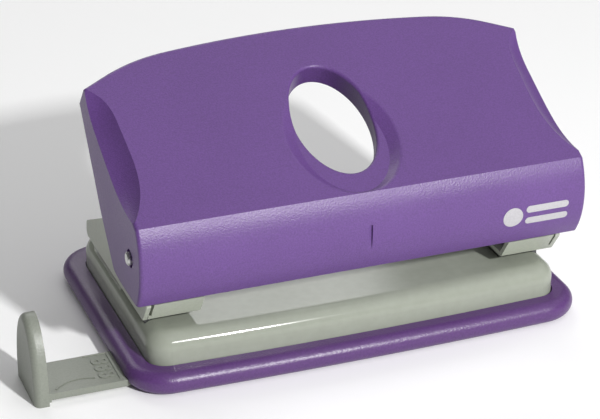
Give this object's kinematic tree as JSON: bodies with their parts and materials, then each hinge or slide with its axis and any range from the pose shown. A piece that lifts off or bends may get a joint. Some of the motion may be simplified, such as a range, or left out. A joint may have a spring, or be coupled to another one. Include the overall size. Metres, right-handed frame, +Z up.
{
  "type": "two-hole desk punch",
  "caption": "Desk punch for paper with a sprung press-down handle, sprung pins over dies, a lift-off chip tray and a sliding paper guide.",
  "frame": {"origin": "middle of the footprint, on the desk", "axes": "+X along the punch, +Y towards the back, +Z up"},
  "size_m": [0.1231, 0.067, 0.0589],
  "materials": {
    "handle_plastic": "fine-grained purple moulding",
    "tray_plastic": "smooth purple moulding",
    "base_plastic": "glossy light grey moulding",
    "guide_plastic": "satin grey moulding",
    "bracket_paint": "light grey paint on bent sheet",
    "zinc_steel": "bright zinc plate",
    "die_steel": "dark ground steel",
    "pin_steel": "ground steel",
    "axle_steel": "drawn steel, ends peened",
    "rivet_steel": "plated steel",
    "spring_steel": "spring steel",
    "washer_plastic": "natural nylon"
  },
  "bodies": {
    "tray": {"chip_tray": "tray_plastic"},
    "guide": {"paper_guide": "guide_plastic"},
    "base": {"base_cover": "base_plastic", "base_plate": "zinc_steel", "die_left": "die_steel", "die_right": "die_steel", "die_rivets": "rivet_steel", "bracket_left": "bracket_paint", "bracket_right": "bracket_paint", "bracket_rivets": "rivet_steel", "guide_plate_left": "zinc_steel", "guide_plate_right": "zinc_steel", "spring_left": "spring_steel", "spring_right": "spring_steel"},
    "handle": {"handle_shell": "handle_plastic", "hinge_axle": "axle_steel", "axle_washers": "washer_plastic"},
    "punch_left": {"punch_left": "pin_steel", "clip_left": "spring_steel"},
    "punch_right": {"punch_right": "pin_steel", "clip_right": "spring_steel"}
  },
  "joints": [
    {"name": "guide_slide", "type": "slide", "parent": "tray", "child": "guide", "axis": [-1, 0, 0], "range_m": [-0.0164, 0.0365]},
    {"name": "tray_release", "type": "slide", "parent": "tray", "child": "base", "axis": [0, 0, 1], "range_m": [0, 0.012]},
    {"name": "handle_press", "type": "hinge", "parent": "base", "child": "handle", "pos_m": [0, -0.0249, 0.0298], "axis": [-1, 0, 0], "range_deg": [0, 24], "stiffness_Nm_per_rad": 0.25, "springref_deg": -20.05},
    {"name": "punch_left_stroke", "type": "slide", "parent": "base", "child": "punch_left", "axis": [0, 0, -1], "range_m": [0, 0.0042], "deforming": ["spring_left"]},
    {"name": "punch_right_stroke", "type": "slide", "parent": "base", "child": "punch_right", "axis": [0, 0, -1], "range_m": [0, 0.0042], "deforming": ["spring_right"]}
  ],
  "couplings": [
    {"joint": "punch_left_stroke", "follows": "handle_press", "m_per_rad": 0.0099},
    {"joint": "punch_right_stroke", "follows": "handle_press", "m_per_rad": 0.0099}
  ]
}
